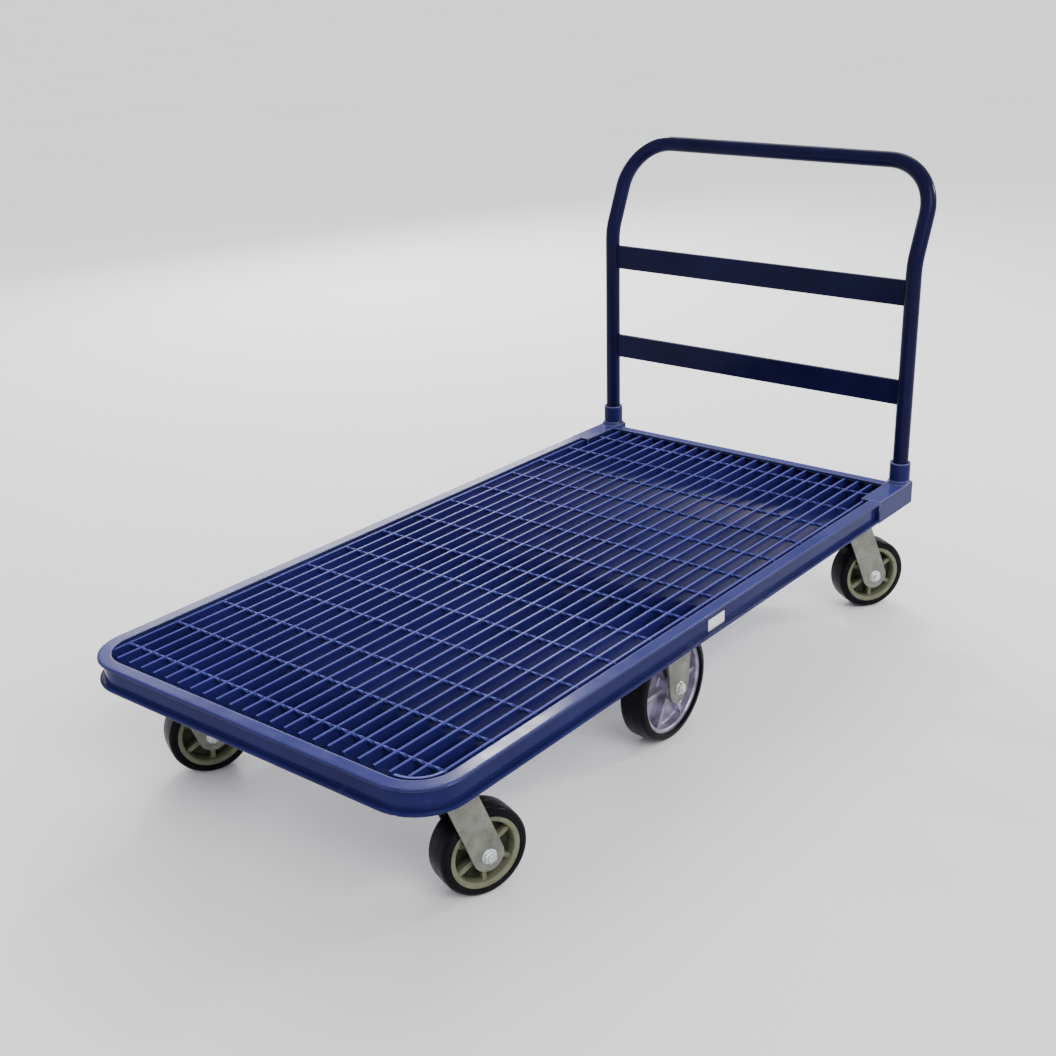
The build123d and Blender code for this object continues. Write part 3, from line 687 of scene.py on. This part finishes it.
def crossbar_welds():
    """Upright beads where the flat crossbars meet the handle tube."""
    rng = random.Random(11)
    bm = bmesh.new()
    for node in ("handle_crossbar_lower", "handle_crossbar_upper"):
        low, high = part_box(node)
        for x in (low.x + CROSSBAR_INSET, high.x - CROSSBAR_INSET):
            for y in (low.y, high.y):
                bead_into(bm, straight((x, y, low.z), (x, y, high.z)), CROSSBAR_BEAD, rng)
    return finish_mesh("crossbar_welds", bm, 60)


def frame_welds():
    """Beads at the seams of the corner blocks, inset from the outer sides to stay within the CAD box."""
    rng = random.Random(12)
    bm = bmesh.new()
    for node in ("corner_block_left", "corner_block_right"):
        low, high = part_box(node)
        outer, inner = (high.x, low.x) if high.x > 0 else (low.x, high.x)
        top = high.z - FRAME_SINK
        skin = outer - math.copysign(FRAME_INSET, outer)
        seams = (
            ((inner, low.y, top), (skin, low.y, top)),
            ((skin, low.y, low.z), (skin, low.y, top)),
            ((inner, RAIL_LOW.y, top), (inner, RAIL_HIGH.y, top)),
        )
        for start, end in seams:
            bead_into(bm, straight(start, end), FRAME_BEAD, rng)
    return finish_mesh("frame_welds", bm, 60)


# =========================================================================================
# Stage, light and camera
# =========================================================================================

FLOOR_HALF = 60


def build_floor():
    """Plain pale floor at z = 0."""
    bm = bmesh.new()
    bmesh.ops.create_grid(bm, x_segments=1, y_segments=1, size=FLOOR_HALF)
    mesh = finish_mesh("floor", bm)
    floor = bpy.data.objects.new("floor", mesh)
    bpy.context.scene.collection.objects.link(floor)
    finish = Finish("floor_pale")
    tone = finish.ramp(finish.noise(0.8, 4), (0.3, (0.87, 0.87, 0.88)), (0.7, (0.90, 0.90, 0.90)))
    finish.feed("Base Color", tone)
    finish.set(Roughness=0.9)
    mesh.materials.append(finish.material)


def add_light(name, data, towards, place=(0, 0, 0)):
    """Put a lamp in the scene, shining along a direction."""
    lamp = bpy.data.objects.new(name, data)
    lamp.location = place
    lamp.rotation_mode = "QUATERNION"
    lamp.rotation_quaternion = towards.to_track_quat("-Z", "Y")
    bpy.context.scene.collection.objects.link(lamp)


def area_light(name, place, target, size, power):
    """Rectangular panel at a place, facing a target."""
    data = bpy.data.lights.new(name, "AREA")
    data.shape = "RECTANGLE"
    data.size, data.size_y = size
    data.energy = power
    add_light(name, data, Vector(target) - Vector(place), place)


def sun_light(name, towards, strength, softness):
    """Sun along a direction; softness is its angle in degrees."""
    data = bpy.data.lights.new(name, "SUN")
    data.energy = strength
    data.angle = math.radians(softness)
    add_light(name, data, Vector(towards))


def build_lights():
    """Even soft room light, two soft suns, and three panels whose shine falls on the top of the rails."""
    world = bpy.data.worlds.new("soft_room")
    world.use_nodes = True
    background = world.node_tree.nodes["Background"]
    background.inputs["Color"].default_value = (0.95, 0.96, 1.0, 1)
    background.inputs["Strength"].default_value = 0.95
    bpy.context.scene.world = world
    sun_light("sun_right", (-1.0, 0.35, -0.9), 1.9, 35)
    sun_light("sun_back", (0.35, -0.75, -0.9), 0.9, 35)
    area_light("far", (-3.3, 2.7, 1.75), (0.4, 1.5, 0.3), (2.6, 0.9), 85)
    area_light("glare", (-2.6, 2.98, 2.93), (0.37, -0.60, 0.26), (0.4, 0.2), 55)
    area_light("edge", (2.0, 3.0, 2.0), (0.37, 0, 0.26), (0.5, 0.5), 45)


CAMERA_AT = Vector((1.5584, -2.0313, 1.3276))
CAMERA_AZIMUTH = math.radians(38.92)
CAMERA_ELEVATION = math.radians(21.58)
CAMERA_ROLL = math.radians(-1.60)
CAMERA_LENS = 50.6
CAMERA_SHIFT = (0.0063, -0.0038)


def build_camera():
    """Camera at the photograph's viewing angle."""
    a, e = CAMERA_AZIMUTH, CAMERA_ELEVATION
    back = Vector((math.sin(a) * math.cos(e), -math.cos(a) * math.cos(e), math.sin(e)))
    level = Vector((math.cos(a), math.sin(a), 0))
    steep = back.cross(level)
    right = level * math.cos(CAMERA_ROLL) + steep * math.sin(CAMERA_ROLL)
    up = back.cross(right)
    data = bpy.data.cameras.new("camera")
    data.lens = CAMERA_LENS
    data.sensor_width = 36
    data.shift_x, data.shift_y = CAMERA_SHIFT
    data.clip_end = 200
    camera = bpy.data.objects.new("camera", data)
    turn = Matrix((right, up, back)).transposed().to_4x4()
    camera.matrix_world = Matrix.Translation(CAMERA_AT) @ turn
    bpy.context.scene.collection.objects.link(camera)
    bpy.context.scene.camera = camera


dress_cad_nodes()
build_grating()
build_wheels()
add_piece("crossbar_welds", crossbar_welds(), "handle_navy", "handle")
add_piece("frame_welds", frame_welds(), "frame_blue", "deck")
build_floor()
build_lights()
build_camera()
